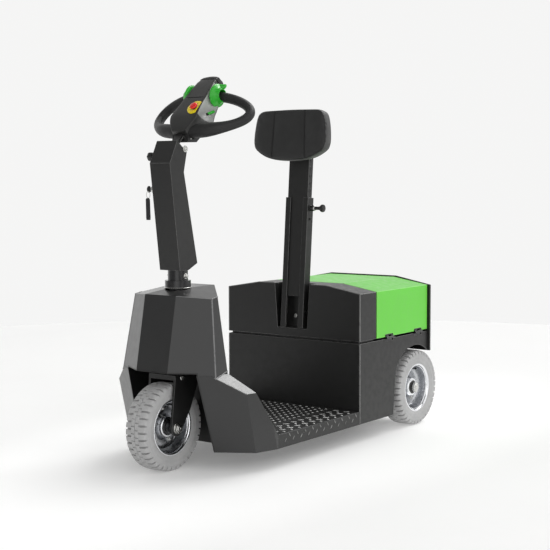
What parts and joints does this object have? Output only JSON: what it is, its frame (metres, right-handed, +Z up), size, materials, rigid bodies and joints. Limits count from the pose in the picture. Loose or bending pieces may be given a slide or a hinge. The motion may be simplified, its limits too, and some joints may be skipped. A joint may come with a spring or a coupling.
{
  "type": "electric tow tractor",
  "caption": "Stand-on electric tow tractor with a steered front wheel, tiller with hand loop, lean seat on a mast, battery box with hinged lid and rear pin hitch.",
  "frame": {"origin": "floor level, on the symmetry plane, midway between the front tyre's front and the hitch's rear end", "axes": "+X forward, +Y to the driver's left, +Z up"},
  "size_m": [1.356, 0.576, 1.2116],
  "materials": {
    "body_black": "fine-texture satin powder coat",
    "cowl_black": "fine-texture satin powder coat",
    "frame_black": "satin powder coat",
    "lid_green": "satin powder coat",
    "tread_black": "raised-mark plate, powder coated, worn marks",
    "tyre_grey": "non-marking grey rubber",
    "rim_chrome": "bright plated",
    "zinc": "zinc plated",
    "spindle_black": "semi-gloss",
    "head_plastic": "fine-grain moulded plastic",
    "grip_rubber": "soft-touch",
    "green_plastic": "gloss moulded plastic",
    "red_plastic": "gloss moulded plastic",
    "knob_black": "moulded plastic",
    "pad_leatherette": "soft black leatherette",
    "battery_case": "moulded case",
    "drive_cast": "painted casting"
  },
  "bodies": {
    "root": {"lower_body": "body_black", "battery_tray": "frame_black", "battery": "battery_case", "drive_unit": "drive_cast", "rear_axle": "zinc", "platform": "tread_black", "chassis_rails": "frame_black", "front_cowl": "cowl_black", "wheel_well": "frame_black", "headstock": "frame_black", "upper_housing": "body_black", "hinge_fixed": "frame_black", "rear_plate": "body_black", "hitch_jaw": "frame_black", "mast_outer": "frame_black", "mast_foot": "frame_black", "mast_plunger": "knob_black"},
    "steering": {"fork": "frame_black", "front_axle": "zinc", "steering_spindle": "spindle_black", "neck_bolt": "zinc", "steering_column": "body_black", "key_switch": "zinc", "clamp_knob": "knob_black"},
    "front_wheel": {"front_tyre": "tyre_grey", "front_rim": "rim_chrome"},
    "head": {"head_arm": "frame_black", "tiller_head": "head_plastic", "loop_handle": "grip_rubber", "thumb_wheels": "green_plastic", "stop_button": "red_plastic"},
    "rear_wheel_left": {"rear_tyre_left": "tyre_grey", "rear_rim_left": "rim_chrome"},
    "rear_wheel_right": {"rear_tyre_right": "tyre_grey", "rear_rim_right": "rim_chrome"},
    "lean_seat": {"mast_inner": "frame_black", "pad_plate": "frame_black", "lean_pad": "pad_leatherette"},
    "lid": {"battery_lid": "lid_green", "hinge_moving": "frame_black"},
    "tow_pin": {"hitch_pin": "zinc"}
  },
  "joints": [
    {"name": "steer", "type": "hinge", "parent": "root", "child": "steering", "pos_m": [0.472, 0, 0.56], "axis": [0, 0, 1], "range_deg": [-45, 45]},
    {"name": "front_roll", "type": "hinge", "parent": "steering", "child": "front_wheel", "pos_m": [0.543, 0, 0.135], "axis": [0, 1, 0], "continuous": true},
    {"name": "head_slide", "type": "slide", "parent": "steering", "child": "head", "axis": [-0.2501, 0, 0.9682], "range_m": [-0.02, 0.05]},
    {"name": "rear_roll_left", "type": "hinge", "parent": "root", "child": "rear_wheel_left", "pos_m": [-0.525, 0.239, 0.135], "axis": [0, 1, 0], "continuous": true},
    {"name": "rear_roll_right", "type": "hinge", "parent": "root", "child": "rear_wheel_right", "pos_m": [-0.525, -0.239, 0.135], "axis": [0, 1, 0], "continuous": true},
    {"name": "seat_slide", "type": "slide", "parent": "root", "child": "lean_seat", "axis": [-0.0792, 0, 0.9969], "range_m": [-0.08, 0.12]},
    {"name": "lid_hinge", "type": "hinge", "parent": "root", "child": "lid", "pos_m": [-0.421, 0.281, 0.3387], "axis": [-1, 0, 0], "range_deg": [0, 95]},
    {"name": "pin_lift", "type": "slide", "parent": "root", "child": "tow_pin", "axis": [0, 0, 1], "range_m": [0, 0.066]}
  ]
}
